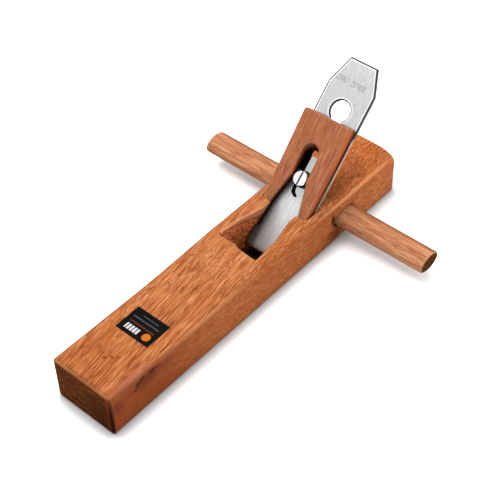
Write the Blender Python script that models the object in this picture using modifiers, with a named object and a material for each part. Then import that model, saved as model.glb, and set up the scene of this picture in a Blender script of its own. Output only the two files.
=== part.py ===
"""Wooden hand plane with a cross handle, a forked wedge, a slotted iron and a screwed-on cap iron.

The origin is the middle of the sole. +X is the right-hand side and the direction of the cross handle,
-Y is the toe, +Y is the heel and +Z is up. Lengths are metres, written as millimetres times MM.
The iron, cap iron, screw and wedge are laid out on the bed, in bed axes: x across, s up the bed from
the line where the bed meets the sole plane, and n square to the bed, out of the wood.
"""
import math

import bmesh
import bpy
from mathutils import Matrix, Vector

MM = 0.001
GAP = 0.3 * MM                      # clearance between pieces that touch on the real plane
CUT = 2 * MM                        # how far a cutter reaches past the face that it opens
CUT_HALF = 30 * MM                  # half-width of a cutter that crosses the iron or the wedge

# Body
BODY_LENGTH = 350 * MM
BODY_WIDTH = 60 * MM
SOLE_EASE = 0.8 * MM                # small flat along the edges of the sole
END_EASE = 0.8 * MM                 # small flat round the toe and heel faces
# Stations along the body: y, top height, then width and depth of the left and right top corners,
# and the exponent of their curve (2 is an ellipse, more is squarer).
STATIONS = (
    (-175, 43.0, 2.0, 1.0, 3.5, 1.4, 1.7),
    (-110, 43.0, 3.5, 2.0, 7.0, 2.2, 1.7),
    (-62, 43.2, 4.0, 2.6, 6.0, 5.6, 1.9),
    (-30, 44.0, 3.0, 2.0, 6.0, 9.0, 2.0),
    (5, 45.0, 2.0, 1.5, 6.5, 10.5, 2.0),
    (60, 45.0, 2.0, 1.5, 6.0, 9.5, 2.0),
    (110, 44.4, 5.0, 6.0, 6.5, 9.0, 2.1),
    (150, 43.6, 14.0, 9.0, 14.0, 9.5, 2.4),
    (175, 42.8, 29.0, 11.0, 29.0, 11.0, 2.7),
)
SECTION_STEP = 7 * MM               # distance between the body's cross-sections
CORNER_SEGMENTS = 7

# Bed and pocket
BED_ANGLE = math.radians(45)
BED_FOOT = 32.5 * MM                # y where the bed meets the sole plane
POCKET_HALF = 23.6 * MM
POCKET_BOTTOM_S = 20 * MM           # below this the pocket closes down to the mouth
MOUTH_LIP = 25.0 * MM               # y where the pocket meets the sole, just behind the mouth's front edge

# Throat, the opening in front of the wedge: y and half-width along its top, and the same at the sole
THROAT_TOP = ((-2, 20.9), (24, 18.7), (49, 12.9), (72, 12.2))
THROAT_SOLE = ((25.2, 23.1), (27, 23.1), (29, 23.1), (31, 23.1))
THROAT_TOP_Z = 46.5 * MM
THROAT_SKEW = 1.7 * MM              # the front edge is cut slightly askew, right side towards the toe

# Groove in the bed, where the nut behind the iron runs
GROOVE_HALF = 10 * MM
GROOVE_DEPTH = 6 * MM
GROOVE_LOW = 62 * MM                # centre of its rounded lower end
GROOVE_HIGH = 100 * MM              # centre of its upper end, above the wood

# Iron
IRON_HALF = 23 * MM
IRON_THICK = 2.4 * MM
IRON_TOP = 186 * MM
IRON_TOP_HALF = 13.6 * MM
SHOULDER_LEFT = 161 * MM
SHOULDER_RIGHT = 164 * MM
IRON_LENGTH = 180 * MM              # the top end is drawn up, so that the edge rests inside the mouth
GRIND_ANGLE = math.radians(27)
KEYHOLE_S = 141.9 * MM
KEYHOLE_RADIUS = 9.25 * MM
IRON_SLOT_HALF = 5.5 * MM
IRON_SLOT_LOW = 76.8 * MM           # centre of the slot's rounded lower end

# Cap iron
CAP_HALF = 21.7 * MM                # narrower than the wedge, which hides its sides
CAP_THICK = 1.8 * MM
CAP_EDGE_S = 7.5 * MM
CAP_NOSE_S = 11.5 * MM              # the rounded nose runs from the front edge to here
CAP_TOP_S = 98.6 * MM
CAP_EDGE_THICK = 0.35 * MM
CAP_SLOT_HALF = 6 * MM
CAP_SLOT_LOW = 67.2 * MM
CAP_SLOT_HIGH = 79.2 * MM

# Screw, washer and nut
SCREW_S = 77.7 * MM
SHANK_RADIUS = 4 * MM
HEAD_RADIUS = 6.5 * MM
HEAD_HEIGHT = 5 * MM
HEAD_EASE = 0.6 * MM
DRIVER_SLOT_WIDTH = 1.7 * MM
DRIVER_SLOT_DEPTH = 1.8 * MM
DRIVER_SLOT_TURN = math.radians(-2)
WASHER_RADIUS = 7.5 * MM
WASHER_THICK = 1.5 * MM
BORE_RADIUS = 4.4 * MM
NUT_RADIUS = 8.6 * MM
NUT_FLANGE_THICK = 4 * MM
NUT_BOSS_RADIUS = 5.2 * MM

# Wedge: its front face is 4 degrees steeper than the bed, and its back lies on the cap iron
WEDGE_HALF = 22.7 * MM
WEDGE_TOP_S = 133 * MM
WEDGE_TIP_S = 25 * MM
WEDGE_FRONT_N = 18.6 * MM           # height of the front face over the bed at the top end
WEDGE_TAPER = math.tan(math.radians(3.9))
WEDGE_CORNER_LEFT = 3 * MM
WEDGE_CORNER_RIGHT = 1.2 * MM
WEDGE_EASE = 0.7 * MM
FORK_HALF = 8.1 * MM
FORK_ARCH_S = 100.5 * MM            # centre of the arch at the top of the fork
FORK_FLARE = ((78, 8.1), (50, 14.7), (24, 17.5))

# Cross handle
HANDLE_LENGTH = 237 * MM
HANDLE_OFFSET = -1.3 * MM           # it stands out a little further on the left
HANDLE_Y = 104.6 * MM
HANDLE_Z = 20.4 * MM
HANDLE_DEPTH = 25 * MM              # along Y
HANDLE_HEIGHT = 17 * MM             # along Z
HANDLE_END_EASE = 1.6 * MM
MOUTH_EASE = 3.4 * MM               # the mortise's mouths are gouged wider towards the toe by this much
MOUTH_EASE_DEPTH = 6 * MM
MOUTH_HEIGHT = 0.9                  # height of the eased mouth over the height of the mortise

# Label
LABEL_WIDTH = 33.4 * MM
LABEL_LENGTH = 25.5 * MM
LABEL_THICK = 0.3 * MM
LABEL_Y = -109 * MM
LABEL_TOP_OF_BODY = 43 * MM

IRON_BACK = GAP
IRON_FACE = IRON_BACK + IRON_THICK
CAP_BACK = IRON_FACE + GAP
CAP_FACE = CAP_BACK + CAP_THICK
WASHER_BACK = CAP_FACE + GAP
HEAD_BACK = WASHER_BACK + WASHER_THICK + GAP
WEDGE_BACK = CAP_FACE + GAP
NUT_FACE = IRON_BACK - GAP

FLAT = Matrix.Identity(4)                                                # outline (x, s), raised along n
ACROSS = Matrix(((0, 0, 1, 0), (1, 0, 0, 0), (0, 1, 0, 0), (0, 0, 0, 1)))  # outline (s, n), run along x

for leftover in list(bpy.data.objects):
    bpy.data.objects.remove(leftover, do_unlink=True)

parts = bpy.data.collections.new("hand_plane")
cutters = bpy.data.collections.new("cutters")
for collection in (parts, cutters):
    bpy.context.scene.collection.children.link(collection)

bed = bpy.data.objects.new("bed", None)
bed.location = (0, BED_FOOT, 0)
bed.rotation_euler = (BED_ANGLE, 0, 0)
parts.objects.link(bed)


def material(name, colour, roughness, metallic=0.0):
    """A Principled material."""
    made = bpy.data.materials.new(name)
    made.use_nodes = True
    shader = made.node_tree.nodes["Principled BSDF"]
    shader.inputs["Base Color"].default_value = (*colour, 1)
    shader.inputs["Roughness"].default_value = roughness
    shader.inputs["Metallic"].default_value = metallic
    return made


def part(name, mesh, look, location=(0, 0, 0), on_bed=False):
    """A named piece in the parts collection, in world axes or in bed axes."""
    piece = bpy.data.objects.new(name, mesh)
    parts.objects.link(piece)
    piece.location = location
    if on_bed:
        piece.parent = bed
    piece.data.materials.append(look)
    return piece


def cutter(name, mesh, location=(0, 0, 0), on_bed=False):
    """A wire guide that only cuts other pieces."""
    guide = bpy.data.objects.new(name, mesh)
    cutters.objects.link(guide)
    guide.location = location
    if on_bed:
        guide.parent = bed
    guide.hide_render = True
    guide.display_type = "WIRE"
    return guide


def boolean(piece, guide, operation="DIFFERENCE"):
    """Cut the guide out of the piece, or keep only what is inside it."""
    modifier = piece.modifiers.new(guide.name, "BOOLEAN")
    modifier.operation = operation
    modifier.solver = "EXACT"
    modifier.object = guide


def bevel(piece, width, segments=2, angle=math.radians(35)):
    """Ease the sharp edges."""
    modifier = piece.modifiers.new("ease", "BEVEL")
    modifier.width = width
    modifier.segments = segments
    modifier.limit_method = "ANGLE"
    modifier.angle_limit = angle


def new_mesh(name, bm):
    """A mesh with outward faces from a bmesh, which is freed."""
    bmesh.ops.recalc_face_normals(bm, faces=bm.faces)
    mesh = bpy.data.meshes.new(name)
    bm.to_mesh(mesh)
    bm.free()
    return mesh


def arc(centre, radius, start, end, segments):
    """Points of an arc, both ends included, with angles in degrees."""
    turn = [math.radians(start + (end - start) * i / segments) for i in range(segments + 1)]
    return [(centre[0] + radius * math.cos(a), centre[1] + radius * math.sin(a)) for a in turn]


def rectangle(width, length):
    """Outline of a rectangle about the origin."""
    u = width / 2
    v = length / 2
    return [(-u, -v), (u, -v), (u, v), (-u, v)]


def stadium(low, high, half, segments=12):
    """Outline of a slot with round ends, along the second axis."""
    return arc((0, high), half, 0, 180, segments) + arc((0, low), half, 180, 360, segments)


def extrusion(name, outlines, near, far, axes=FLAT):
    """A plate from closed outlines, from near to far along the third axis."""
    curve = bpy.data.curves.new(name, "CURVE")
    curve.dimensions = "2D"
    curve.fill_mode = "BOTH"
    curve.extrude = (far - near) / 2
    for outline in outlines:
        spline = curve.splines.new("POLY")
        spline.points.add(len(outline) - 1)
        spline.use_cyclic_u = True
        for point, (u, v) in zip(spline.points, outline):
            point.co = (u, v, 0, 1)
    guide = bpy.data.objects.new(name, curve)
    parts.objects.link(guide)
    evaluated = guide.evaluated_get(bpy.context.evaluated_depsgraph_get())
    mesh = bpy.data.meshes.new_from_object(evaluated)
    bpy.data.objects.remove(guide)
    bpy.data.curves.remove(curve)
    bm = bmesh.new()
    bm.from_mesh(mesh)
    bpy.data.meshes.remove(mesh)
    bmesh.ops.remove_doubles(bm, verts=bm.verts, dist=1e-6)
    bmesh.ops.dissolve_limit(bm, angle_limit=math.radians(1), verts=bm.verts, edges=bm.edges)
    middle = Matrix.Translation((0, 0, (near + far) / 2))
    bmesh.ops.transform(bm, matrix=axes @ middle, verts=bm.verts)
    return new_mesh(name, bm)


def oval_bar(name, depth, height, length, segments=40):
    """An oval bar along X."""
    bm = bmesh.new()
    upright = Matrix.Rotation(math.radians(90), 4, "Y")
    oval = Matrix.Diagonal((height / 2, depth / 2, 1, 1))
    bmesh.ops.create_cone(bm, cap_ends=True, segments=segments, radius1=1, radius2=1, depth=length,
                          matrix=upright @ oval)
    return new_mesh(name, bm)


def turned(name, profile, look, location, segments=40):
    """A turned piece about n from a profile of (radius, n) points on its outer side, top to bottom."""
    mesh = bpy.data.meshes.new(name)
    bm = bmesh.new()
    rim = [bm.verts.new((radius, 0, n)) for radius, n in profile]
    for upper, lower in zip(rim, rim[1:]):
        bm.edges.new((upper, lower))
    bm.to_mesh(mesh)
    bm.free()
    piece = part(name, mesh, look, location, on_bed=True)
    screw = piece.modifiers.new("turn", "SCREW")
    screw.axis = "Z"
    screw.angle = math.tau
    screw.steps = segments
    screw.render_steps = segments
    screw.use_merge_vertices = True
    screw.merge_threshold = 1e-5
    return piece


# ---------------------------------------------------------------- body

def station_at(y):
    """The values of the stations at y, joined by a smooth curve through them."""
    inside = [k for k, row in enumerate(STATIONS) if row[0] * MM < y]
    i = min(inside[-1] if inside else 0, len(STATIONS) - 2)
    last = len(STATIONS) - 1
    before, start, end, past = (STATIONS[min(max(k, 0), last)] for k in (i - 1, i, i + 1, i + 2))
    span = end[0] - start[0]
    t = (y / MM - start[0]) / span
    values = []
    for a, b, c, d in list(zip(before, start, end, past))[1:]:
        slope_b = (c - a) / (end[0] - before[0]) * span
        slope_c = (d - b) / (past[0] - start[0]) * span
        hermite = ((2 * t**3 - 3 * t**2 + 1) * b + (t**3 - 2 * t**2 + t) * slope_b
                   + (3 * t**2 - 2 * t**3) * c + (t**3 - t**2) * slope_c)
        values.append(hermite)
    return values


def corner(width, depth, exponent, top):
    """Points of the right top corner from the side up to the top."""
    points = []
    for i in range(CORNER_SEGMENTS + 1):
        a = math.radians(90) * i / CORNER_SEGMENTS
        out = math.cos(a) ** (2 / exponent)
        up = math.sin(a) ** (2 / exponent) if i else 0.0
        points.append((BODY_WIDTH / 2 - width * (1 - out), top - depth * (1 - up)))
    return points


def body_section(y, inset=0.0):
    """Cross-section of the body at y as (x, z) points, all the way round."""
    top, left_w, left_d, right_w, right_d, exponent = station_at(y)
    right = corner(right_w * MM, right_d * MM, exponent, top * MM)
    left = [(-x, z) for x, z in reversed(corner(left_w * MM, left_d * MM, exponent, top * MM))]
    half = BODY_WIDTH / 2
    sole = [(-half, SOLE_EASE), (-half + SOLE_EASE, 0), (half - SOLE_EASE, 0), (half, SOLE_EASE)]
    middle = top * MM / 2
    shrink_x = 1 - inset / half
    shrink_z = 1 - inset / middle
    return [(x * shrink_x, middle + (z - middle) * shrink_z) for x, z in sole + right + left]


def body_blank():
    """The body before it is cut, as a loft from the toe to the heel."""
    half = BODY_LENGTH / 2
    inner = half - END_EASE
    count = round(2 * inner / SECTION_STEP)
    places = [(-half, END_EASE)]
    places += [(-inner + 2 * inner * i / count, 0.0) for i in range(count + 1)]
    places.append((half, END_EASE))
    bm = bmesh.new()
    rings = [[bm.verts.new((x, y, z)) for x, z in body_section(y, inset)] for y, inset in places]
    for near, far in zip(rings, rings[1:]):
        for i in range(len(near)):
            k = (i + 1) % len(near)
            bm.faces.new((near[i], near[k], far[k], far[i]))
    bm.faces.new(rings[0])
    bm.faces.new(rings[-1])
    return new_mesh("plane_body", bm)


def wedge_front(s):
    """Height of the wedge's front face over the bed."""
    return WEDGE_FRONT_N - (WEDGE_TOP_S - s) * WEDGE_TAPER


def pocket():
    """Cutter for the sloping pocket that holds the iron and the wedge, down through the mouth."""
    below = -12 * MM
    above = 130 * MM
    lip = Vector((MOUTH_LIP - BED_FOOT, 0)) / math.sqrt(2)
    lip_s, lip_n = lip.x, -lip.x
    outline = [
        (below, 0),
        (above, 0),
        (above, wedge_front(above) + GAP),
        (POCKET_BOTTOM_S, wedge_front(POCKET_BOTTOM_S) + GAP),
        (lip_s, lip_n),
        (below, lip_n + (lip_s - below)),
    ]
    return cutter("pocket", extrusion("pocket", [outline], -POCKET_HALF, POCKET_HALF, ACROSS), on_bed=True)


def throat():
    """Cutter for the throat: wide at the mouth, narrowing upwards to the gap between the abutments."""
    bm = bmesh.new()
    top = [(half, y) for y, half in THROAT_TOP] + [(-half, y) for y, half in reversed(THROAT_TOP)]
    sole = [(half, y) for y, half in THROAT_SOLE] + [(-half, y) for y, half in reversed(THROAT_SOLE)]
    upper = []
    lower = []
    for (top_x, top_y), (sole_x, sole_y) in zip(top, sole):
        if top_y == THROAT_TOP[0][0]:
            top_y -= math.copysign(THROAT_SKEW / MM, top_x)
        head = Vector((top_x * MM, top_y * MM, THROAT_TOP_Z))
        foot = Vector((sole_x * MM, sole_y * MM, 0))
        upper.append(bm.verts.new(head))
        lower.append(bm.verts.new(foot + (foot - head) * (CUT / THROAT_TOP_Z)))
    for i in range(len(upper)):
        k = (i + 1) % len(upper)
        bm.faces.new((upper[i], upper[k], lower[k], lower[i]))
    bm.faces.new(upper)
    bm.faces.new(lower)
    bmesh.ops.triangulate(bm, faces=bm.faces)
    return cutter("throat", new_mesh("throat", bm))


def groove():
    """Cutter for the groove in the bed, open at the top of the body."""
    outline = stadium(GROOVE_LOW, GROOVE_HIGH, GROOVE_HALF)
    return cutter("groove", extrusion("groove", [outline], -GROOVE_DEPTH, CUT), on_bed=True)


def mortise():
    """Cutters for the handle's hole: the bore, and a slanting cut at each mouth, eased towards the toe."""
    depth = HANDLE_DEPTH + 2 * GAP
    height = HANDLE_HEIGHT + 2 * GAP
    bore = oval_bar("mortise", depth, height, BODY_WIDTH + 2 * CUT)
    guides = [cutter("mortise", bore, (0, HANDLE_Y, HANDLE_Z))]
    slant = math.atan2(MOUTH_EASE, MOUTH_EASE_DEPTH)
    length = 4 * MOUTH_EASE_DEPTH
    reach = length / 2 - MOUTH_EASE_DEPTH / 2
    for side, name in ((1, "right_mouth"), (-1, "left_mouth")):
        bar = oval_bar(name, depth * math.cos(slant), height * MOUTH_HEIGHT, length)
        inner = side * (BODY_WIDTH / 2 - MOUTH_EASE_DEPTH)
        middle = (inner + side * reach * math.cos(slant), HANDLE_Y - reach * math.sin(slant), HANDLE_Z)
        mouth = cutter(name, bar, middle)
        mouth.rotation_euler = (0, 0, -side * slant)
        guides.append(mouth)
    return guides


def plane_body(look):
    """The wooden body with its pocket, throat, groove and mortise."""
    body = part("plane_body", body_blank(), look)
    boolean(body, pocket())
    boolean(body, throat())
    boolean(body, groove())
    for guide in mortise():
        boolean(body, guide)
    return body


# ---------------------------------------------------------------- handle and label

def cross_handle(look):
    """The oval bar through the body, with rounded ends."""
    bar = oval_bar("cross_handle", HANDLE_DEPTH, HANDLE_HEIGHT, HANDLE_LENGTH)
    handle = part("cross_handle", bar, look, (HANDLE_OFFSET, HANDLE_Y, HANDLE_Z))
    bevel(handle, HANDLE_END_EASE, segments=4, angle=math.radians(60))
    return handle


def label(look):
    """The thin label on top of the body, ahead of the throat."""
    mesh = extrusion("label", [rectangle(LABEL_WIDTH, LABEL_LENGTH)], 0, LABEL_THICK)
    return part("label", mesh, look, (0, LABEL_Y, LABEL_TOP_OF_BODY + GAP))


# ---------------------------------------------------------------- iron and cap iron

def plane_iron(look):
    """The slotted iron: a keyhole runs from its round hole down to the screw."""
    edge_s = IRON_TOP - IRON_LENGTH
    blank = [(-IRON_HALF, edge_s), (IRON_HALF, edge_s), (IRON_HALF, SHOULDER_RIGHT),
             (IRON_TOP_HALF, IRON_TOP), (-IRON_TOP_HALF, IRON_TOP), (-IRON_HALF, SHOULDER_LEFT)]
    meet = math.degrees(math.acos(IRON_SLOT_HALF / KEYHOLE_RADIUS))
    keyhole = arc((0, KEYHOLE_S), KEYHOLE_RADIUS, -meet, 180 + meet, segments=28)
    keyhole += arc((0, IRON_SLOT_LOW), IRON_SLOT_HALF, 180, 360, segments=14)
    origin = Vector((0, SCREW_S, 0))
    mesh = extrusion("plane_iron", [blank, keyhole], IRON_BACK, IRON_FACE)
    mesh.transform(Matrix.Translation(-origin))
    iron = part("plane_iron", mesh, look, origin, on_bed=True)
    grind_length = (IRON_THICK + CUT) / math.tan(GRIND_ANGLE)
    low_n = IRON_BACK - CUT
    grind = [(edge_s, IRON_FACE), (edge_s + grind_length, low_n), (edge_s - CUT, low_n),
             (edge_s - CUT, IRON_FACE)]
    boolean(iron, cutter("grind", extrusion("grind", [grind], -CUT_HALF, CUT_HALF, ACROSS), on_bed=True))
    return iron


def cap_iron(look):
    """The cap iron: a plate with a rounded nose and a short slot for the screw."""
    nose_run = CAP_NOSE_S - CAP_EDGE_S
    nose_rise = CAP_THICK - CAP_EDGE_THICK
    quarter = arc((0, 0), 1, 180, 90, segments=8)
    nose = [(CAP_NOSE_S + nose_run * u, CAP_BACK + CAP_EDGE_THICK + nose_rise * v) for u, v in quarter]
    side = [(CAP_TOP_S, CAP_BACK), (CAP_EDGE_S, CAP_BACK), *nose, (CAP_TOP_S, CAP_FACE)]
    origin = Vector((0, SCREW_S, 0))
    mesh = extrusion("cap_iron", [side], -CAP_HALF, CAP_HALF, ACROSS)
    mesh.transform(Matrix.Translation(-origin))
    cap = part("cap_iron", mesh, look, origin, on_bed=True)
    outline = stadium(CAP_SLOT_LOW, CAP_SLOT_HIGH, CAP_SLOT_HALF)
    slot = extrusion("cap_slot", [outline], CAP_BACK - CUT, CAP_FACE + CUT)
    boolean(cap, cutter("cap_slot", slot, on_bed=True))
    return cap


# ---------------------------------------------------------------- screw, washer and nut

def cap_screw(look):
    """The slotted screw, turned about its axis, with its origin on the face of the bed."""
    head_top = HEAD_BACK + HEAD_HEIGHT
    tip = NUT_FACE - NUT_FLANGE_THICK
    profile = [(0, head_top), (HEAD_RADIUS - HEAD_EASE, head_top), (HEAD_RADIUS, head_top - HEAD_EASE),
               (HEAD_RADIUS, HEAD_BACK), (SHANK_RADIUS, HEAD_BACK), (SHANK_RADIUS, tip + HEAD_EASE),
               (SHANK_RADIUS - HEAD_EASE, tip), (0, tip)]
    piece = turned("cap_screw", profile, look, (0, SCREW_S, 0))
    outline = rectangle(DRIVER_SLOT_WIDTH, 2 * (HEAD_RADIUS + CUT))
    mesh = extrusion("driver_slot", [outline], head_top - DRIVER_SLOT_DEPTH, head_top + CUT)
    guide = cutter("driver_slot", mesh, (0, SCREW_S, 0), on_bed=True)
    guide.rotation_euler = (0, 0, DRIVER_SLOT_TURN)
    boolean(piece, guide)
    return piece


def screw_washer(look):
    """The washer under the screw's head."""
    top = WASHER_BACK + WASHER_THICK
    profile = [(BORE_RADIUS, top), (WASHER_RADIUS, top), (WASHER_RADIUS, WASHER_BACK),
               (BORE_RADIUS, WASHER_BACK), (BORE_RADIUS, top)]
    return turned("screw_washer", profile, look, (0, SCREW_S, 0))


def screw_nut(look):
    """The flanged nut behind the iron, whose round boss slides in the iron's slot."""
    bottom = NUT_FACE - NUT_FLANGE_THICK
    boss_top = IRON_FACE - GAP
    profile = [(BORE_RADIUS, boss_top), (NUT_BOSS_RADIUS, boss_top), (NUT_BOSS_RADIUS, NUT_FACE),
               (NUT_RADIUS, NUT_FACE), (NUT_RADIUS, bottom), (BORE_RADIUS, bottom), (BORE_RADIUS, boss_top)]
    return turned("screw_nut", profile, look, (0, SCREW_S, 0))


# ---------------------------------------------------------------- wedge

def wedge(look):
    """The forked wedge: a flat outline with the fork, kept inside the tapering side view."""
    top = WEDGE_TOP_S
    low = WEDGE_TIP_S
    flare = [(half * MM, s * MM) for s, half in FORK_FLARE]
    outline = [(WEDGE_HALF, low)]
    for side, radius in ((1, WEDGE_CORNER_RIGHT), (-1, WEDGE_CORNER_LEFT)):
        start = 0 if side == 1 else 90
        outline += arc((side * (WEDGE_HALF - radius), top - radius), radius, start, start + 90, segments=5)
    outline += [(-WEDGE_HALF, low)]
    outline += [(-x, max(s, low)) for x, s in reversed(flare)]
    outline += arc((0, FORK_ARCH_S), FORK_HALF, 180, 0, segments=14)
    outline += [(x, max(s, low)) for x, s in flare]
    taper = [(low - CUT, WEDGE_BACK), (top + CUT, WEDGE_BACK), (top + CUT, wedge_front(top + CUT)),
             (low - CUT, wedge_front(low - CUT))]
    origin = Vector((0, low, 0))
    mesh = extrusion("wedge", [outline], WEDGE_BACK - CUT, WEDGE_FRONT_N + CUT)
    mesh.transform(Matrix.Translation(-origin))
    piece = part("wedge", mesh, look, origin, on_bed=True)
    guide = extrusion("wedge_side", [taper], -CUT_HALF, CUT_HALF, ACROSS)
    boolean(piece, cutter("wedge_side", guide, on_bed=True), "INTERSECT")
    bevel(piece, WEDGE_EASE, segments=2, angle=math.radians(50))
    return piece


body_wood = material("body_wood", (0.46, 0.17, 0.07), 0.55)
wedge_wood = material("wedge_wood", (0.42, 0.16, 0.08), 0.6)
handle_wood = material("handle_wood", (0.50, 0.21, 0.10), 0.5)
steel = material("iron_steel", (0.72, 0.73, 0.74), 0.3, 1.0)
cap_steel = material("cap_steel", (0.75, 0.76, 0.77), 0.26, 1.0)
screw_steel = material("screw_steel", (0.85, 0.85, 0.84), 0.22, 1.0)
nut_steel = material("nut_steel", (0.55, 0.55, 0.55), 0.4, 1.0)
black_steel = material("black_steel", (0.02, 0.02, 0.02), 0.45, 0.6)
label_film = material("label_film", (0.012, 0.012, 0.014), 0.4)

plane_body(body_wood)
cross_handle(handle_wood)
wedge(wedge_wood)
plane_iron(steel)
cap_iron(cap_steel)
cap_screw(screw_steel)
screw_washer(black_steel)
screw_nut(nut_steel)
label(label_film)

for piece in parts.objects:
    if piece.type == "MESH":
        piece.data.shade_smooth()
        piece.data.set_sharp_from_angle(angle=math.radians(30))
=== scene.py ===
"""Looks of the wooden hand plane: camera, light, eased and tooled shapes, wood, steel and label.

Lengths are metres, written as millimetres times MM. Procedural patterns work in millimetres.
The bed axes are x across, s up the bed and n square to it, out of the wood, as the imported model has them.
"""

import math

import bmesh
import bpy
import numpy as np
from mathutils import Matrix, Vector, noise


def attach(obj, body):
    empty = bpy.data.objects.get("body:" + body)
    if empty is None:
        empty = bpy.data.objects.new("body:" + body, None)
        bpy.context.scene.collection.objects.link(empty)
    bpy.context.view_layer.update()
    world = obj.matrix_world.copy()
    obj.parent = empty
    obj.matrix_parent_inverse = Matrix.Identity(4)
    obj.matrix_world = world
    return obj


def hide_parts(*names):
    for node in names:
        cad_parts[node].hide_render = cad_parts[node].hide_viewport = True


MM = 0.001
SQRT_HALF = math.sqrt(0.5)
GRAIN_BODY = (0, 0, math.radians(-7))
GRAIN_HANDLE = (0, 0, math.radians(90))
GRAIN_WEDGE = (math.radians(-45), 0, 0)

# Places and sizes in millimetres
BODY_TOP = 45.0
BED_FOOT = 32.5                      # y of the bed's foot
BED_END = 64.0                       # how far up the bed its inner corners are cleared
BED_HALF = 23.45                     # half of the width kept clear for the iron
BED_FILLET = 0.9                     # how high the fine mesh rounds the bed's inner corners
THROAT_FRONT = -0.6                  # y of the throat's front edge, at the top
THROAT_LEAN = 0.55                   # how far that edge moves back per millimetre down
THROAT_BACK = 49.0
THROAT_HALF = 25.5                   # half-width that takes in the throat's walls
SPLAY_FRONT = 1.2                    # depth of the smooth splay under the body's top, at the throat's front
SPLAY_GAIN = 8.5                     # how much deeper it is at the throat's back
LIP_OUTLINE = ((-22.5, -1), (-2, -1), (0, 0.8), (-7, 3.6), (-13, 4.2), (-22.5, 4.2))
LIP_LOW = 38.5
LIP_HIGH = 43.6
ARCH_FROM = 100.5                    # how far up the bed the fork's arch starts
IRON_FACE = 2.7                      # height of the iron's front face over the bed
IRON_HALF = 23.0
IRON_END = 186.0                     # how far up the bed the iron's top is
IRON_CORNERS = ((-0.936, 0.352, 78.2), (0.92, 0.393, 85.6))    # clipped corners: normal and distance
IRON_HOLE = 141.9                    # how far up the bed the round hole's middle is

# Camera: direction it looks from, turn about its own axis, lens, distance and shift of its aim
CAMERA_AZIMUTH = math.radians(41.86)
CAMERA_ELEVATION = math.radians(45.96)
CAMERA_ROLL = math.radians(-1.40)
CAMERA_LENS = 88.77
CAMERA_DISTANCE = 1025.26 * MM
CAMERA_ASIDE = 9.47 * MM
CAMERA_ABOVE = 28.28 * MM

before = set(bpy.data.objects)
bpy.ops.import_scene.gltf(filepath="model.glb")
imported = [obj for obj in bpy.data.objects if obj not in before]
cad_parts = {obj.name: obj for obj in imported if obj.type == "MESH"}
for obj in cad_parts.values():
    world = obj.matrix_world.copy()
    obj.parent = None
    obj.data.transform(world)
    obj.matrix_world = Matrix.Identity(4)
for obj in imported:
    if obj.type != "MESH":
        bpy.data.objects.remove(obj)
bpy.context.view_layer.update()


# ---------------------------------------------------------------- camera, floor and light

def place_camera():
    """The camera at the photograph's viewing angle."""
    flat = math.cos(CAMERA_ELEVATION)
    east, north = math.cos(CAMERA_AZIMUTH), math.sin(CAMERA_AZIMUTH)
    back = Vector((north * flat, -east * flat, math.sin(CAMERA_ELEVATION)))
    level = Vector((east, north, 0))
    up = back.cross(level)
    right = math.cos(CAMERA_ROLL) * level + math.sin(CAMERA_ROLL) * up
    top = math.cos(CAMERA_ROLL) * up - math.sin(CAMERA_ROLL) * level
    data = bpy.data.cameras.new("camera")
    data.lens = CAMERA_LENS
    data.clip_start = 0.01
    camera = bpy.data.objects.new("camera", data)
    bpy.context.scene.collection.objects.link(camera)
    camera.matrix_world = Matrix((right, top, back)).transposed().to_4x4()
    camera.location = CAMERA_DISTANCE * back + CAMERA_ASIDE * right + CAMERA_ABOVE * top
    bpy.context.scene.camera = camera


def area_light(name, place, aim, size, power):
    """A square soft light at place, facing aim."""
    data = bpy.data.lights.new(name, "AREA")
    data.size = size
    data.energy = power
    lamp = bpy.data.objects.new(name, data)
    bpy.context.scene.collection.objects.link(lamp)
    lamp.location = place
    lamp.rotation_euler = (Vector(aim) - Vector(place)).to_track_quat("-Z", "Y").to_euler()


def light_studio():
    """A white room, brighter overhead, with a large soft light above and one at the right of the heel."""
    world = bpy.data.worlds.new("studio")
    bpy.context.scene.world = world
    world.use_nodes = True
    tree = world.node_tree
    background = tree.nodes["Background"]
    background.inputs["Color"].default_value = (1, 1, 1, 1)
    direction = tree.nodes.new("ShaderNodeTexCoord")
    parts = tree.nodes.new("ShaderNodeSeparateXYZ")
    tree.links.new(direction.outputs["Generated"], parts.inputs[0])
    rise = tree.nodes.new("ShaderNodeMapRange")
    tree.links.new(parts.outputs["Z"], rise.inputs["Value"])
    for key, value in (("From Min", 0.0), ("From Max", 0.9), ("To Min", 1.15), ("To Max", 1.50)):
        rise.inputs[key].default_value = value
    tree.links.new(rise.outputs[0], background.inputs["Strength"])
    area_light("overhead", (-0.34, 0.02, 1.20), (0, 0, 0.02), 1.05, 32)
    area_light("right_of_heel", (0.70, 0.60, 0.45), (0, 0.10, 0.02), 0.4, 3.2)
    bpy.context.scene.view_settings.view_transform = "Standard"


def lay_floor():
    """A plain pale floor under the sole, with a soft painted contact shadow round the body and painted black
    shade under it.
    """
    bm = bmesh.new()
    bmesh.ops.create_grid(bm, x_segments=1, y_segments=1, size=6)
    mesh = bpy.data.meshes.new("floor")
    bm.to_mesh(mesh)
    bm.free()
    floor = bpy.data.objects.new("floor", mesh)
    bpy.context.scene.collection.objects.link(floor)
    floor.location.z = -0.2 * MM
    g = Graph("floor")
    # Painted contact shadow: the floor greys within a few millimetres round the body
    colour = g.cover((0.70, 0.70, 0.70), g.box(g.own, (0, 0), (35.5, 180.5), 9.0), 0.68, (0.12, 0.12, 0.12))
    # Painted black shade under the body, seen through the open mouth
    colour = g.mix(g.box(g.own, (0, 0), (26, 171), 3.0), colour, (0.006, 0.005, 0.004))
    g.set(Base_Color=colour, Roughness=0.9, Specular_IOR_Level=0.05)
    mesh.materials.append(g.material)


# ---------------------------------------------------------------- material graphs

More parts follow.
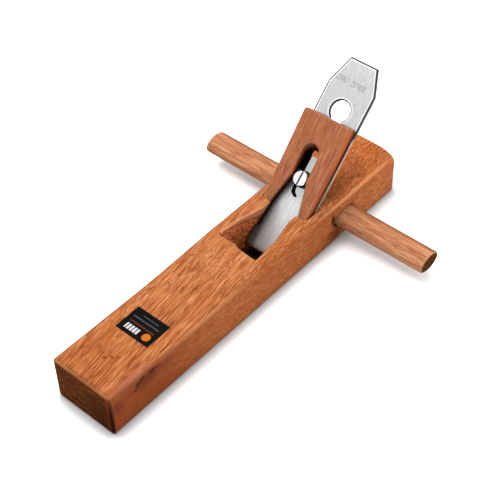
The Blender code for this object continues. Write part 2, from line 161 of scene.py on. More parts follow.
class Graph:
    """Builds one material's nodes from short calls. A source is a socket, a number or a tuple."""

    def __init__(self, name):
        self.material = bpy.data.materials.new(name)
        self.material.use_nodes = True
        self.tree = self.material.node_tree
        self.shader = self.tree.nodes["Principled BSDF"]
        self.texture = self.node("ShaderNodeTexCoord")
        self.own = self.mapped(self.texture.outputs["Object"], (1000, 1000, 1000))

    def node(self, kind, **settings):
        made = self.tree.nodes.new(kind)
        for key, value in settings.items():
            setattr(made, key, value)
        return made

    def feed(self, socket, source):
        if isinstance(source, bpy.types.NodeSocket):
            self.tree.links.new(source, socket)
        else:
            socket.default_value = source

    def math(self, operation, a, b=0.0, clamp=False):
        made = self.node("ShaderNodeMath", operation=operation, use_clamp=clamp)
        self.feed(made.inputs[0], a)
        self.feed(made.inputs[1], b)
        return made.outputs[0]

    def vector(self, operation, a, b=(0, 0, 0), c=(0, 0, 0)):
        made = self.node("ShaderNodeVectorMath", operation=operation)
        for socket, source in zip(made.inputs, (a, b, c)):
            self.feed(socket, source)
        return made.outputs["Value" if operation == "LENGTH" else "Vector"]

    def scaled(self, source, share):
        made = self.node("ShaderNodeVectorMath", operation="SCALE")
        self.feed(made.inputs[0], source)
        self.feed(made.inputs["Scale"], share)
        return made.outputs["Vector"]

    def mapped(self, source, scale=(1, 1, 1), turn=(0, 0, 0), shift=(0, 0, 0), kind="POINT"):
        made = self.node("ShaderNodeMapping", vector_type=kind)
        self.feed(made.inputs["Vector"], source)
        made.inputs["Scale"].default_value = scale
        made.inputs["Rotation"].default_value = turn
        if kind == "POINT":
            made.inputs["Location"].default_value = shift
        return made.outputs[0]

    def noise(self, source, detail=2.0, roughness=0.5, output="Fac"):
        made = self.node("ShaderNodeTexNoise")
        self.feed(made.inputs["Vector"], source)
        made.inputs["Scale"].default_value = 1.0
        made.inputs["Detail"].default_value = detail
        made.inputs["Roughness"].default_value = roughness
        return made.outputs[output]

    def ramp(self, source, low, high, start=0.0, end=1.0):
        made = self.node("ShaderNodeMapRange", interpolation_type="SMOOTHSTEP")
        self.feed(made.inputs["Value"], source)
        for key, value in (("From Min", low), ("From Max", high), ("To Min", start), ("To Max", end)):
            made.inputs[key].default_value = value
        return made.outputs[0]

    def mix(self, share, a, b, blend="MIX"):
        made = self.node("ShaderNodeMix", data_type="RGBA", blend_type=blend)
        self.feed(made.inputs["Factor"], share)
        for socket, source in ((made.inputs[6], a), (made.inputs[7], b)):
            self.feed(socket, source if isinstance(source, bpy.types.NodeSocket) else (*source, 1))
        return made.outputs[2]

    def cover(self, colour, share, amount, tone, blend="MIX"):
        """A colour covered with a tone by a share times an amount."""
        return self.mix(self.math("MULTIPLY", share, amount), colour, tone, blend)

    def attribute(self, name):
        return self.node("ShaderNodeAttribute", attribute_name=name).outputs["Fac"]

    def bump(self, height, distance, strength=1.0):
        made = self.node("ShaderNodeBump")
        self.feed(made.inputs["Height"], height)
        made.inputs["Distance"].default_value = distance
        made.inputs["Strength"].default_value = strength
        self.feed(self.shader.inputs["Normal"], made.outputs[0])

    def tint(self, share, tone):
        """Cover the base colour with a tone by a share."""
        socket = self.shader.inputs["Base Color"]
        self.feed(socket, self.mix(share, socket.links[0].from_socket, tone))

    def split(self, source):
        made = self.node("ShaderNodeSeparateXYZ")
        self.feed(made.inputs[0], source)
        return tuple(made.outputs)

    def bed(self):
        """Places in the bed's axes, in millimetres: across, up the bed, and out of the wood."""
        return self.mapped(self.own, turn=GRAIN_WEDGE, shift=(0, -BED_FOOT * SQRT_HALF, BED_FOOT * SQRT_HALF))

    def set(self, **values):
        for key, source in values.items():
            self.feed(self.shader.inputs[key.replace("_", " ")], source)

    def spot(self, place, centre, reach):
        """1 inside an ellipsoid about centre, falling to 0 at its reach, all in millimetres."""
        away = self.vector("DIVIDE", self.vector("SUBTRACT", place, centre), reach)
        return self.ramp(self.vector("LENGTH", away), 0.25, 1.0, 1.0, 0.0)

    def box(self, place, centre, half, soft=0.12):
        """1 inside a rectangle in x and y, with a soft edge, in millimetres."""
        x, y, _ = self.split(self.vector("ABSOLUTE", self.vector("SUBTRACT", place, (*centre, 0))))
        across = self.ramp(x, half[0] - soft, half[0] + soft, 1.0, 0.0)
        along = self.ramp(y, half[1] - soft, half[1] + soft, 1.0, 0.0)
        return self.math("MULTIPLY", across, along)


WOOD = {
    "streak": (0.62, 0.016, 0.75),      # broad long fibres: per millimetre across and along, and share
    "strand": (1.45, 0.046, 0.80),      # thin dark fibres
    "fleck": (1.35, 0.044, 0.80),       # thin pale fibres
    "pore": (1.25, 0.085, 0.70),        # dark pores
    "band": (0.10, 0.0035),             # broad bands of growth
    "curl": (8.0, 0.54, 0.66, 0.30),    # wild grain: reach, where it starts and is full, and its share there
    "curls": (),                        # places of wild grain: centre and reach in millimetres, and amount
    "washes": (),                       # painted light: places multiplied by a tone: centre, reach, tone and share
    "flank": ((0.1, 0.025, 0.007), 0.0),    # painted light: tone and share on the sides, square to X
    "wear": 0.35,                       # how pale the worn arrises are, partly a painted highlight
    "cut": (0.56, 0.175, 0.066),        # wood cut with a chisel, lightened also as painted light on the shaded throat walls
    "pit_shade": (0.19, 0.038, 0.011),        # painted shade in the deeper pits of that
    "splay": (0.44, 0.190, 0.098),      # the throat's smooth splay, lightened as painted light
}


def wood(name, turn, seed, tones, ends, marks=(), **changes):
    """Hardwood with its grain along the turned Y axis.

    tones are the pale and deep ground, the dark fibres, the pores and the pale flecks; ends are the dark and
    pale end grain. marks are (centre, reach, tone, share) in millimetres, in the piece's own axes. Another
    value for a key of WOOD may be given.
    """
    spec = {**WOOD, **changes}
    ground, deep, dark_fibre, pore_tone, pale_fibre = tones
    g = Graph(name)
    place = g.mapped(g.own, turn=turn, shift=(seed * 37.0, seed * 91.0, seed * 53.0))

    def layer(key, detail, roughness, shift):
        across, along = spec[key][:2]
        moved = g.mapped(place, (across, along, across), shift=(shift, shift, shift))
        return g.noise(moved, detail, roughness)

    # Bend the grain: a slow sway everywhere, and wild grain in patches and at the given places
    sway = g.noise(g.mapped(place, (0.022, 0.009, 0.022)), 2.0, output="Color")
    sway = g.vector("SUBTRACT", sway, (0.5, 0.5, 0.5))
    place = g.vector("MULTIPLY_ADD", sway, (7, 0, 7), place)
    reach, start, full, amount = spec["curl"]
    curl = g.noise(g.mapped(place, (0.17, 0.085, 0.17), shift=(7, 7, 7)), 2.0, output="Color")
    curl = g.vector("MULTIPLY", g.vector("SUBTRACT", curl, (0.5, 0.5, 0.5)), (reach, 3 * reach, reach))
    patch = g.noise(g.mapped(place, (0.025, 0.013, 0.025), shift=(31, 3, 11)), 1.0)
    patch = g.ramp(patch, start, full, 0.0, amount)
    figured = 0.0
    for centre, span, amount in spec["curls"]:
        figured = g.math("ADD", figured, g.math("MULTIPLY", g.spot(g.own, centre, span), amount))
    place = g.vector("ADD", place, g.scaled(curl, g.math("ADD", patch, figured)))

    bands = g.ramp(layer("band", 2.0, 0.5, 0.0), 0.36, 0.64)
    streaks = layer("streak", 4.0, 0.6, 13.0)
    strands = g.ramp(layer("strand", 1.5, 0.5, 71.0), 0.50, 0.64)
    pores = g.ramp(layer("pore", 1.0, 0.5, 29.0), 0.58, 0.68)
    flecks = g.ramp(layer("fleck", 1.5, 0.5, 47.0), 0.50, 0.66)

    colour = g.mix(bands, ground, deep)
    colour = g.mix(g.ramp(streaks, 0.42, 0.62, 0.0, spec["streak"][2]), colour, dark_fibre)
    colour = g.cover(colour, flecks, spec["fleck"][2], pale_fibre)
    colour = g.cover(colour, strands, spec["strand"][2], dark_fibre)
    colour = g.cover(colour, pores, spec["pore"][2], pore_tone)
    if spec["curls"]:
        # Contour lines of a slow noise, pale and dark by turns
        rise = g.noise(g.mapped(place, (0.20, 0.085, 0.20), shift=(3, 9, 27)), 2.0)
        within = g.math("SUBTRACT", g.math("FRACT", g.math("MULTIPLY", rise, 11.0)), 0.5)
        within = g.math("ABSOLUTE", within)
        for low, high, tone in ((0.20, 0.04, pale_fibre), (0.34, 0.48, dark_fibre)):
            line = g.ramp(within, low, high, 0.0, 0.55)
            colour = g.mix(g.math("MULTIPLY", figured, line, clamp=True), colour, tone)
    # Painted light: places multiplied by a tone
    for centre, span, tone, share in spec["washes"]:
        colour = g.cover(colour, g.spot(g.own, centre, span), share, tone, "MULTIPLY")

    # Painted light: the sides, square to X, take their own tone, broken by blotches
    facing = g.split(g.mapped(g.texture.outputs["Normal"], turn=turn, kind="VECTOR"))
    tone, share = spec["flank"]
    blotch = g.noise(g.mapped(place, (0.16, 0.05, 0.16), shift=(5, 17, 3)), 3.0)
    blotch = g.ramp(blotch, 0.35, 0.65, 0.55, 1.35)
    flank = g.ramp(g.math("ABSOLUTE", facing[0]), 0.72, 0.97, 0.0, share)
    colour = g.mix(g.math("MULTIPLY", flank, blotch, clamp=True), colour, tone)

    end_on = g.ramp(g.math("ABSOLUTE", facing[1]), 0.78, 0.95)
    speckle = g.noise(g.mapped(place, (0.9, 0.25, 0.9)), 3.0, 0.75)
    rings = g.noise(g.mapped(place, (0.10, 0.02, 0.35)), 2.0)
    grainy = g.math("ADD", g.math("MULTIPLY", speckle, 0.75), g.math("MULTIPLY", rings, 0.25))
    colour = g.mix(end_on, colour, g.mix(g.ramp(grainy, 0.38, 0.62), ends[0], ends[1]))
    # Worn arrises paler, partly a painted highlight
    colour = g.cover(colour, g.attribute("wear"), spec["wear"], pale_fibre)
    # Painted shade in inner corners
    colour = g.cover(colour, g.attribute("crease_shade"), 0.6, pore_tone)
    # Marks at given places: figure and stains, and painted light and shade
    for centre, span, tone, share in marks:
        colour = g.cover(colour, g.spot(g.own, centre, span), share, tone)
    # Painted shade on faces turned to the left and up, along the left arrises
    left_arris_shade = g.math("MULTIPLY", g.ramp(facing[0], -0.22, -0.50), g.ramp(facing[2], 0.15, 0.4))
    colour = g.cover(colour, left_arris_shade, 0.7, pore_tone)
    # Painted light on the throat's smooth splay
    colour = g.cover(colour, g.attribute("splay"), 0.8, spec["splay"])
    # The cut walls: raw wood tone, lightened also as painted light
    colour = g.cover(colour, g.attribute("cut_and_painted_light"), 0.9, spec["cut"])
    # Painted shade in the walls' deeper hollows
    colour = g.cover(colour, g.attribute("hollow_shade"), 0.75, spec["pit_shade"])

    height = g.math("SUBTRACT", g.math("MULTIPLY", streaks, 0.6), g.math("MULTIPLY", pores, 0.5))
    height = g.math("SUBTRACT", height, g.math("MULTIPLY", strands, 0.2))
    g.bump(height, 0.15 * MM, 0.6)
    gloss = g.math("MULTIPLY", g.math("SUBTRACT", 1.0, end_on), 0.012)
    g.set(Base_Color=colour, Roughness=g.ramp(streaks, 0.3, 0.7, 0.46, 0.62), Specular_IOR_Level=gloss)
    return g


def steel(name, base, roughness, cut_and_painted_light=(0.035, 0.030, 0.027), marks=()):
    """Ground steel: satin faces with scratches up the bed, eased edges lit with a painted highlight, and dark
    sides of painted shade.

    marks are the centres and half sizes of faint blocks, in the bed's axes.
    """
    g = Graph(name)
    bed = g.bed()
    scratches = g.noise(g.mapped(bed, (2.6, 0.10, 2.6), turn=(0, 0, math.radians(-14))), 4.0, 0.7)
    crossing = g.noise(g.mapped(bed, (2.2, 0.12, 2.2), turn=(0, 0, math.radians(21))), 3.0, 0.7)
    clouds = g.noise(g.mapped(bed, (0.09, 0.06, 0.09)), 2.0)
    streaks = g.math("ADD", g.math("MULTIPLY", scratches, 0.6), g.math("MULTIPLY", crossing, 0.4))
    dull = tuple(c * 0.72 for c in base)
    colour = g.mix(g.ramp(streaks, 0.36, 0.64), dull, base)
    colour = g.mix(g.ramp(clouds, 0.35, 0.65, 0.0, 0.25), colour, dull)
    for centre, half in marks:
        broken = g.noise(g.mapped(bed, (1.0, 0.35, 1.0), turn=(0, 0, 0.5)), 2.0)
        broken = g.ramp(broken, 0.40, 0.58, 0.0, 0.6)
        colour = g.cover(colour, g.box(bed, centre, half, 0.45), broken, (0.20, 0.20, 0.20))
    facing = g.split(g.mapped(g.texture.outputs["Normal"], turn=GRAIN_WEDGE, kind="VECTOR"))
    level = g.math("ABSOLUTE", facing[2])
    flat = g.ramp(level, 0.90, 0.985)
    side = g.ramp(level, 0.30, 0.50, 1.0, 0.0)
    # A painted highlight on the eased edges, and painted shade on the sides
    edge_highlight = tuple(min(1.0, c * 1.45) for c in base)
    colour = g.mix(flat, edge_highlight, colour)
    colour = g.mix(side, colour, cut_and_painted_light)
    g.bump(streaks, 0.02 * MM, 0.5)
    uneven = g.math("ADD", streaks, g.math("MULTIPLY", clouds, 0.3))
    uneven = g.ramp(uneven, 0.4, 0.9, roughness - 0.04, roughness + 0.08)
    uneven = g.math("ADD", uneven, g.math("MULTIPLY", side, 0.3))
    g.set(Base_Color=colour, Metallic=0.95, Roughness=uneven, Specular_IOR_Level=0.2)
    return g


# ---------------------------------------------------------------- shapes

def linked(name, mesh):
    """A new object in the scene."""
    made = bpy.data.objects.new(name, mesh)
    bpy.context.scene.collection.objects.link(made)
    return made


def welded(name, node, flat=False):
    """A copy of a CAD node's mesh with its corners joined, and with its flat faces whole if flat."""
    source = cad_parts[node].data
    mesh = bpy.data.meshes.new(name)
    mesh.from_pydata([v.co[:] for v in source.vertices], [], [p.vertices[:] for p in source.polygons])
    bm = bmesh.new()
    bm.from_mesh(mesh)
    bmesh.ops.remove_doubles(bm, verts=bm.verts, dist=1e-6)
    if flat:
        bmesh.ops.dissolve_limit(bm, angle_limit=math.radians(0.5), verts=bm.verts, edges=bm.edges)
    bmesh.ops.recalc_face_normals(bm, faces=bm.faces)
    bm.to_mesh(mesh)
    bm.free()
    return mesh


def evaluated_mesh(piece):
    """The mesh of a helper object with its modifiers applied. The helper is removed."""
    mesh = bpy.data.meshes.new_from_object(piece.evaluated_get(bpy.context.evaluated_depsgraph_get()))
    old = piece.data
    bpy.data.objects.remove(piece)
    bpy.data.meshes.remove(old)
    return mesh


def add_prism(mesh, outline, low, high):
    """Add an upright prism to a mesh, given in millimetres."""
    bm = bmesh.new()
    bm.from_mesh(mesh)
    base = bm.faces.new([bm.verts.new((x * MM, y * MM, low * MM)) for x, y in outline])
    raised = bmesh.ops.extrude_face_region(bm, geom=[base])["geom"]
    corners = [item for item in raised if isinstance(item, bmesh.types.BMVert)]
    bmesh.ops.translate(bm, vec=(0, 0, (high - low) * MM), verts=corners)
    bmesh.ops.recalc_face_normals(bm, faces=bm.faces)
    bm.to_mesh(mesh)
    bm.free()


def carved(name, node, voxel, softening, prism=()):
    """A CAD node as an even fine mesh with softened arrises, joined with an upright prism if one is given."""
    helper = linked(name + "_source", welded(name + "_source", node))
    if prism:
        add_prism(helper.data, *prism)
    remesh = helper.modifiers.new("even", "REMESH")
    remesh.mode = "VOXEL"
    remesh.voxel_size = voxel
    smooth = helper.modifiers.new("soften", "SMOOTH")
    smooth.factor = 0.5
    smooth.iterations = softening
    bpy.context.view_layer.update()
    mesh = evaluated_mesh(helper)
    mesh.name = name
    mesh.shade_smooth()
    return mesh


def points_of(mesh):
    """Vertices in millimetres and their normals, as arrays."""
    places = np.empty(len(mesh.vertices) * 3, np.float32)
    mesh.vertices.foreach_get("co", places)
    normals = np.empty(len(mesh.vertices) * 3, np.float32)
    mesh.vertex_normals.foreach_get("vector", normals)
    return places.reshape(-1, 3).astype(float) / MM, normals.reshape(-1, 3).astype(float)


def put_points(mesh, places):
    """Write vertices given in millimetres."""
    mesh.vertices.foreach_set("co", (places * MM).astype(np.float32).ravel())
    mesh.update()


def put_shares(mesh, name, values):
    """Store a number per vertex for the materials."""
    made = mesh.attributes.new(name, "FLOAT", "POINT")
    made.data.foreach_set("value", np.clip(values, 0, 1).astype(np.float32))


def bumps(places, scale, seed, where=None):
    """Smooth noise from -1 to 1 at each place, only where asked."""
    values = np.zeros(len(places))
    chosen = range(len(places)) if where is None else np.nonzero(where)[0]
    shift = Vector((seed * 17.3, seed * 5.1, seed * 9.7))
    for i in chosen:
        p = places[i]
        values[i] = noise.noise(Vector((p[0] * scale[0], p[1] * scale[1], p[2] * scale[2])) + shift)
    return values


def in_bed(places):
    """How far places lie up the bed and out of the wood, in millimetres."""
    _, y, z = places.T
    return (y - BED_FOOT + z) * SQRT_HALF, (z - y + BED_FOOT) * SQRT_HALF


def smoothstep(values, low, high):
    """0 below low, 1 above high and a smooth rise between them."""
    t = np.clip((values - low) / (high - low), 0, 1)
    return t * t * (3 - 2 * t)


def put_edge_shares(mesh, voxel, strength=1.0):
    """Shares of worn outer edges, partly a painted highlight, and of painted shade in inner corners, from how
    the mesh curves.
    """
    places, normals = points_of(mesh)
    ends = np.empty(len(mesh.edges) * 2, np.int32)
    mesh.edges.foreach_get("vertices", ends)
    a, b = ends.reshape(-1, 2).T
    total = np.zeros_like(places)
    count = np.zeros(len(places))
    for start, end in ((a, b), (b, a)):
        np.add.at(total, start, places[end])
        np.add.at(count, start, 1)
    lift = ((total / np.maximum(count, 1)[:, None] - places) * normals).sum(1) / (voxel / MM)
    for _ in range(2):
        spread = np.zeros(len(places))
        np.add.at(spread, a, lift[b])
        np.add.at(spread, b, lift[a])
        lift = (lift + spread / np.maximum(count, 1)) / 2
    put_shares(mesh, "wear", smoothstep(-lift * strength, 0.02, 0.10))
    put_shares(mesh, "crease_shade", smoothstep(lift * strength, 0.02, 0.10))


def finished(name, mesh, body, node, look):
    """A piece in place of a CAD node, with its material, riding on its body."""
    piece = linked(name, mesh)
    mesh.materials.clear()
    mesh.materials.append(look)
    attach(piece, body)
    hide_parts(node)
    return piece


def eased(piece, width, segments=2, angle=math.radians(40)):
    """Bevel the sharp edges and shade the rest flat."""
    modifier = piece.modifiers.new("ease", "BEVEL")
    modifier.width = width
    modifier.segments = segments
    modifier.limit_method = "ANGLE"
    modifier.angle_limit = angle
    modifier.harden_normals = True
    piece.data.shade_smooth()
    piece.data.set_sharp_from_angle(angle=math.radians(30))


def chamfered(mesh, width, face):
    """Cut a flat chamfer along the front arrises of a plate whose front stands so high over the bed."""
    bm = bmesh.new()
    bm.from_mesh(mesh)

    def over_bed(vert):
        return (vert.co.z - vert.co.y + BED_FOOT * MM) * SQRT_HALF

    edges = [edge for edge in bm.edges if edge.calc_face_angle(0) > math.radians(60)
             and min(map(over_bed, edge.verts)) > face - 0.05 * MM]
    bmesh.ops.bevel(bm, geom=edges, offset=width, segments=1, profile=0.5, affect="EDGES", clamp_overlap=True)
    bm.to_mesh(mesh)
    bm.free()
    mesh.shade_smooth()
    mesh.set_sharp_from_angle(angle=math.radians(30))
    return mesh


# ---------------------------------------------------------------- pieces

def body_mesh():
    """The plane's body: softened arrises, and throat walls rough from the chisel under a smooth splay."""
    voxel = 1.05 * MM
    mesh = carved("body", "plane_body", voxel, 4, (LIP_OUTLINE, LIP_LOW, LIP_HIGH))
    places, normals = points_of(mesh)
    x, y, z = places.T
    front = THROAT_FRONT + (BODY_TOP - z) * THROAT_LEAN
    reach = np.clip((y - front) / (THROAT_BACK - front), 0, 1)
    splay = BODY_TOP - (SPLAY_FRONT + SPLAY_GAIN * reach)
    inside = (y > front + 0.3) & (y < 56) & (z > 2.5) & (np.abs(x) > 10) & (np.abs(x) < THROAT_HALF)
    facing = np.where(x < 0, normals[:, 0], -normals[:, 0])
    sideways = inside * smoothstep(facing, 0.45, 0.75)
    facet = sideways * smoothstep(z - splay, -0.4, 0.9) * (x < 0)
    wall = sideways * smoothstep(splay - z, -0.4, 0.9)

    # Hollow the walls unevenly
    where = wall > 0.01
    coarse = bumps(places, (0.42, 0.36, 0.5), 1, where)
    fine = bumps(places, (0.9, 0.75, 1.1), 2, where)
    depth = 0.9 + 0.75 * coarse + 0.5 * fine
    places[:, 0] -= np.where(x < 0, 1, -1) * wall * depth

    # Clear the bed's inner corners for the iron
    up_bed, over_bed = in_bed(places)
    across = np.abs(places[:, 0])
    corner = (up_bed > 0.5) & (up_bed < BED_END) & (across < THROAT_HALF)
    corner &= (over_bed > 0) & (over_bed < BED_FILLET)
    cheek = (up_bed > -4) & (up_bed < BED_END) & (across > 22) & (across < BED_HALF)
    cheek &= (over_bed > 0.10) & (over_bed < 4.5)
    sink = np.where(corner, over_bed, 0) * SQRT_HALF
    places[cheek, 0] = np.where(places[cheek, 0] < 0, -BED_HALF, BED_HALF)
    places[:, 1] += sink
    places[:, 2] -= sink

    put_points(mesh, places)
    put_edge_shares(mesh, voxel)
    # Shares for the materials: painted light on the splay, the cut walls lightened partly as painted light,
    # and painted shade in the walls' deeper hollows
    put_shares(mesh, "splay", facet)
    put_shares(mesh, "cut_and_painted_light", wall)
    put_shares(mesh, "hollow_shade", wall * smoothstep(coarse + 0.7 * fine, -0.15, 0.35))
    return mesh


def wedge_mesh():
    """The wedge, with the top of its fork cut sloping down towards the iron."""
    voxel = 0.55 * MM
    mesh = carved("wedge", "wedge", voxel, 3)
    places, _ = points_of(mesh)
    up_bed, over_bed = in_bed(places)
    from_arch = np.hypot(places[:, 0], np.minimum(up_bed - ARCH_FROM, 0))
    arch = smoothstep(-from_arch, -9.6, -8.4) * smoothstep(up_bed, 99.0, 104.0)
    arch *= smoothstep(-up_bed, -111.5, -109.5)
    drop = 0.45 * np.clip(16.5 - over_bed, 0, 12) * arch * SQRT_HALF
    places[:, 1:] -= drop[:, None]
    put_points(mesh, places)
    put_edge_shares(mesh, voxel)
    return mesh


def handle_mesh():
    voxel = 0.8 * MM
    mesh = carved("handle", "cross_handle", voxel, 4)
    put_edge_shares(mesh, voxel)
    return mesh


# ---------------------------------------------------------------- looks

TONES_BODY = ((0.236, 0.082, 0.0275), (0.200, 0.062, 0.0180), (0.124, 0.0295, 0.0075),
              (0.070, 0.0155, 0.0038), (0.312, 0.138, 0.0580))
TONES_WEDGE = ((0.205, 0.074, 0.0345), (0.178, 0.061, 0.0262), (0.135, 0.041, 0.0168),
               (0.080, 0.022, 0.0088), (0.262, 0.115, 0.0620))
TONES_HANDLE = ((0.280, 0.132, 0.066), (0.228, 0.094, 0.045), (0.165, 0.056, 0.024),
                (0.095, 0.028, 0.011), (0.350, 0.196, 0.112))
ENDS = ((0.023, 0.0065, 0.002), (0.092, 0.030, 0.0098))
ENDS_HANDLE = ((0.022, 0.008, 0.003), (0.070, 0.026, 0.010))
STEEL = (0.50, 0.50, 0.505)
FORK_SHADE = (0.003, 0.003, 0.003)
DARK = (0.016, 0.005, 0.003)
SHADE = (0.002, 0.001, 0.0006)
RUSSET = (0.060, 0.012, 0.004)
PLUM = (0.080, 0.016, 0.011)
PINK = (0.185, 0.062, 0.038)
PAINTED_HIGHLIGHT = (0.300, 0.128, 0.054)

# Centre and reach in millimetres, tone and share
BODY_MARKS = (
    # the right side towards the toe, its top arris with a painted highlight, and the corner at the toe
    ((30, -160, 10), (9, 95, 60), (0.128, 0.0245, 0.0048), 0.72),
    ((30.5, -60, 40.5), (4, 80, 5), PAINTED_HIGHLIGHT, 0.60),
    ((28, -150, 42), (4.5, 30, 5), PINK, 0.60),
    ((29.8, -175, 14), (3.2, 3.4, 46), (0.006, 0.002, 0.001), 1.0),
    # the top's edge and a knot at the toe
    ((0, -173.5, 44), (46, 3.5, 4), RUSSET, 0.50),
    ((-1, -149, 43), (2.4, 2.2, 4), RUSSET, 0.70),
    ((3, -145, 43), (3.2, 1.5, 4), RUSSET, 0.80),
    ((6.5, -142, 43), (2.2, 1.7, 4), RUSSET, 0.60),
    # a dark figure on the right side near the toe, and the toe's face
    ((30, -137, 31), (5, 20, 10), RUSSET, 0.60),
    ((30, -146, 33), (5, 4.4, 3.0), DARK, 0.85),
    ((30, -149, 29), (5, 3.0, 2.4), DARK, 0.60),
    ((30, -141, 35.8), (5, 5.0, 2.4), DARK, 0.75),
    ((30, -130.4, 35.5), (5, 7.5, 3.0), DARK, 0.80),
    ((30, -124, 34.5), (5, 4.6, 2.6), DARK, 0.60),
    ((30, -168, 26), (4, 9, 11), PLUM, 0.60),
    ((30, -116, 31), (4, 11, 6), PLUM, 0.50),
    ((24, -175, 12), (30, 4, 26), DARK, 0.55),
    # painted shade in the mouth, and along the saw cut at the throat's front edge
    ((0, 33, 0), (19, 16, 16), SHADE, 1.0),
    ((-12, 33, 0), (17, 16, 16), SHADE, 1.0),
    ((12, 33, 0), (17, 16, 16), SHADE, 1.0),
    ((-18, 2.3, 44), (5, 1.2, 6), DARK, 1.0),
    ((-12.5, 2.4, 44), (5, 1.2, 6), DARK, 1.0),
    ((-7.5, 2.5, 44), (4, 1.1, 6), DARK, 1.0),
    # painted shade in the gap at the front of the mortise, and the handle's painted shadow on the side below
    # it
    ((30, 87.5, 27), (4, 4, 9), DARK, 0.95),
    ((30, 92, 9), (4, 14, 11), RUSSET, 0.60),
    # the top's arrises: a painted highlight on the right one at the heel, and painted shade along the left
    # one
    ((29.6, 128, 39.6), (3.4, 90, 2.6), (0.44, 0.20, 0.092), 0.62),
    ((-29.8, -40, 43), (1.9, 400, 9), DARK, 0.85),
)
# Centre, reach and amount
BODY_CURLS = (
    ((-6, -24, 43), (30, 20, 12), 0.8),
    ((4, 140, 43), (40, 55, 14), 1.0),
    ((-8, -118, 43), (9, 16, 8), 0.6),
)
# Centre, reach, tone and share, as painted light: the heel's top brighter and redder, the toe's top darker,
# the heel's side and the middle of the side brighter
BODY_PAINTED_LIGHT_WASHES = (
    ((0, 140, 44), (48, 80, 14), (1.20, 0.98, 0.78), 1.0),
    ((0, -150, 44), (50, 80, 14), (0.95, 0.88, 0.80), 1.0),
    ((30, 140, 22), (8, 70, 44), (1.55, 1.50, 1.45), 1.0),
    ((30, 10, 22), (8, 130, 44), (1.26, 1.25, 1.26), 1.0),
)


def body_look():
    return wood("body_wood", GRAIN_BODY, 1, TONES_BODY, ENDS, BODY_MARKS, curls=BODY_CURLS,
                washes=BODY_PAINTED_LIGHT_WASHES, flank=((0.230, 0.056, 0.0130), 0.45)).material


def wedge_look():
    """Pinkish wood with painted light on its sides, painted black shade inside the fork, and darker at the
    foot.
    """
    g = wood("wedge_wood", GRAIN_WEDGE, 2, TONES_WEDGE, ENDS, streak=(0.9, 0.016, 0.8),
             strand=(1.1, 0.03, 0.5), fleck=(1.1, 0.04, 0.45), pore=(1.3, 0.08, 0.4),
             curl=(4.0, 0.5, 0.6, 0.3), flank=((0.300, 0.074, 0.0190), 0.75), wear=0.8)
    across, _, above = g.split(g.bed())
    away = g.math("ABSOLUTE", across)
    # Painted black shade inside the fork
    inner = g.ramp(away, 17.9, 17.3)
    g.tint(g.math("MULTIPLY", inner, g.ramp(above, 15.0, 8.0)), (0.004, 0.0015, 0.001))
    g.tint(g.ramp(above, 7.6, 6.0, 0.0, 0.75), (0.030, 0.007, 0.003))
    outer = g.ramp(away, 17.6, 18.6)
    g.tint(g.math("MULTIPLY", g.ramp(above, 10.0, 7.8, 0.0, 0.8), outer), (0.110, 0.021, 0.006))
    return g.material


def handle_look():
    return wood("handle_wood", GRAIN_HANDLE, 3, TONES_HANDLE, ENDS_HANDLE, band=(0.13, 0.012),
                streak=(0.34, 0.020, 0.8), strand=(1.1, 0.045, 0.4), fleck=(1.0, 0.045, 0.4)).material


def iron_look():
    """The iron: faint blocks near its top, a black crescent of painted shade and reflection under the screw,
    a painted highlight just inside its outline and painted shade at its edge.
    """
    etched = (((-11.5, 166.8), (6.0, 2.5)), ((5.2, 166.2), (7.2, 2.7)))
    g = steel("iron_steel", STEEL, 0.16, cut_and_painted_light=(0.11, 0.10, 0.09), marks=etched)
    bed = g.bed()
    x, up, _ = g.split(bed)

    # The crescent, painted shade and reflection of the cap's slot wall, is what a round-ended strip leaves of
    # a black block
    inset = g.node("ShaderNodeCombineXYZ")
    g.feed(inset.inputs[0], g.math("SUBTRACT", x, 2.4))
    g.feed(inset.inputs[1], g.math("MINIMUM", g.math("SUBTRACT", up, 68.4), 0.0))
    outside = g.ramp(g.vector("LENGTH", inset.outputs[0]), 5.6, 6.0)
    g.tint(g.math("MULTIPLY", outside, g.box(bed, (-3.5, 68), (3.8, 9))), (0.002, 0.002, 0.002))

    # How far inside the outline a place is, as a negative number, and how far from the hole's middle
    outline = g.math("SUBTRACT", g.math("ABSOLUTE", x), IRON_HALF)
    outline = g.math("MAXIMUM", outline, g.math("SUBTRACT", up, IRON_END))
    for slope_x, slope_up, reach in IRON_CORNERS:
        clipped = g.math("ADD", g.math("MULTIPLY", x, slope_x), g.math("MULTIPLY", up, slope_up))
        outline = g.math("MAXIMUM", outline, g.math("SUBTRACT", clipped, reach))
    from_hole = g.vector("MULTIPLY", g.vector("SUBTRACT", bed, (0, IRON_HOLE, 0)), (1, 1, 0))
    from_hole = g.vector("LENGTH", from_hole)

    # Painted highlight just inside the outline and round the hole, and painted shade at the edge, where the
    # iron stands clear of the wedge
    bare = g.ramp(up, 118.0, 128.0)
    rim_highlight = g.math("MAXIMUM", g.ramp(outline, -2.6, -2.4), g.ramp(from_hole, 11.6, 11.4))
    g.tint(g.math("MULTIPLY", rim_highlight, bare), (0.62, 0.62, 0.62))
    edge = g.math("MAXIMUM", g.ramp(outline, -1.45, -1.25), g.ramp(from_hole, 10.4, 10.2))
    g.tint(g.math("MULTIPLY", edge, bare), (0.045, 0.040, 0.036))
    # Painted reflection of the wood along the iron's edge beside the wedge
    wood_reflection_beside_wedge = g.math("MULTIPLY", g.math("SUBTRACT", 1.0, bare), g.ramp(outline, -3.0, -2.8))
    g.tint(wood_reflection_beside_wedge, (0.31, 0.19, 0.14))
    # Painted shade in the fork, beside the wedge's left leg
    g.tint(g.box(bed, (-7.5, 98), (4.6, 14), 0.8), FORK_SHADE)
    return g.material


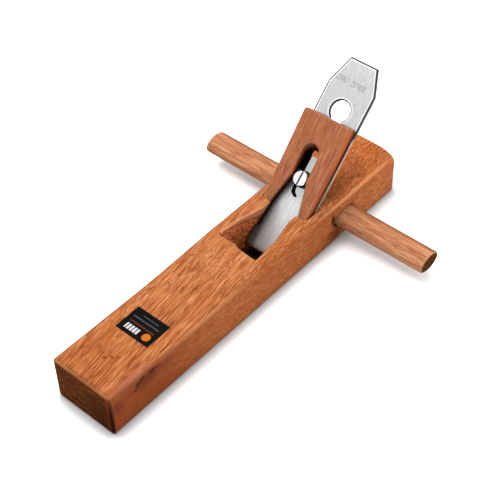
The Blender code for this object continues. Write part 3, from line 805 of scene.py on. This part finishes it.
def cap_look():
    """The cap iron: slanting scratches, a dark band of painted shade and reflection along its lower left
    side, and painted shade in the fork.
    """
    g = steel("cap_steel", STEEL, 0.12)
    bed = g.bed()
    across, up, _ = g.split(bed)
    # A band of painted shade and reflection along the lower left side, next to the throat's wall
    from_band = g.math("SUBTRACT", across, g.ramp(up, 34.0, 76.0, -14.0, -11.5))
    band = g.math("MULTIPLY", g.ramp(from_band, -3.0, 3.0, 0.8, 0.0), g.ramp(up, 76.0, 64.0))
    lines = g.noise(g.mapped(bed, (1.1, 0.045, 1.1), turn=(0, 0, -0.35)), 3.0, 0.7)
    g.tint(g.ramp(lines, 0.47, 0.60, 0.0, 0.45), (0.26, 0.26, 0.26))
    g.tint(band, (0.075, 0.068, 0.062))
    # Painted shade in the fork, beside the wedge's left leg
    g.tint(g.box(bed, (-7.5, 93), (4.6, 9), 0.8), FORK_SHADE)
    g.set(Roughness=g.ramp(up, 56.0, 78.0, 0.36, 0.07), Metallic=g.ramp(up, 40.0, 80.0, 0.60, 0.90))
    return g.material


def label_look():
    """Black film with a few generic printed shapes."""
    g = Graph("label_film")
    own = g.vector("ADD", g.own, (0, 109, 0))
    x, _, _ = g.split(own)
    dashes = g.ramp(g.math("SINE", g.math("MULTIPLY", x, 3.9)), -0.3, 0.3)
    blocks = g.ramp(g.math("SINE", g.math("MULTIPLY", x, 2.1)), -0.8, -0.4)
    away = g.vector("SUBTRACT", g.vector("MULTIPLY", own, (1, 1, 0)), (9.6, -6.4, 0))
    disc = g.ramp(g.vector("LENGTH", away), 3.5, 3.8, 1.0, 0.0)
    colour = g.mix(disc, (0.0016, 0.0015, 0.0015), (0.24, 0.062, 0.005))
    for centre, half, tone, pattern in (
        ((-5.0, -6.6), (6.6, 2.7), (0.26, 0.26, 0.26), blocks),
        ((0, -0.9), (12.5, 0.55), (0.12, 0.024, 0.003), dashes),
        ((0, 4.0), (13, 0.5), (0.07, 0.07, 0.07), dashes),
        ((1, 8.0), (8, 0.45), (0.05, 0.05, 0.05), dashes),
    ):
        colour = g.cover(colour, g.box(own, centre, half), pattern, tone)
    grain = g.noise(g.mapped(own, (3, 3, 3)), 2.0)
    g.bump(grain, 0.02 * MM, 0.3)
    g.set(Base_Color=colour, Roughness=g.ramp(grain, 0.3, 0.7, 0.40, 0.52), Specular_IOR_Level=0.012)
    return g.material


# ---------------------------------------------------------------- assembly

def build_wood():
    finished("body", body_mesh(), "body", "plane_body", body_look())
    finished("wedge_piece", wedge_mesh(), "wedge", "wedge", wedge_look())
    finished("handle", handle_mesh(), "handle", "cross_handle", handle_look())


def build_steel():
    """The irons, the screw, the washer and the nut, with eased edges."""
    screw = steel("screw_steel", (0.80, 0.80, 0.79), 0.22).material
    black = steel("black_steel", (0.012, 0.012, 0.012), 0.4).material
    dull = steel("nut_steel", (0.42, 0.41, 0.40), 0.35).material
    for name, node, body, slot, look, width in (
        ("cap", "cap_iron", "cap", "cap_steel", cap_look(), 0.3),
        ("screw", "cap_screw", "screw", "screw_steel", screw, 0.25),
        ("washer", "screw_washer", "clamp", "black_steel", black, 0.25),
        ("nut", "screw_nut", "clamp", "nut_steel", dull, 0.4),
    ):
        eased(finished(name, welded(name, node, flat=True), body, node, look), width * MM)
    iron = chamfered(welded("iron", "plane_iron", flat=True), 0.5 * MM, IRON_FACE * MM)
    finished("iron", iron, "iron", "plane_iron", iron_look())


def build_label():
    film = finished("film", welded("film", "label", flat=True), "body", "label", label_look())
    eased(film, 0.1 * MM)


place_camera()
light_studio()
lay_floor()
build_wood()
build_steel()
build_label()
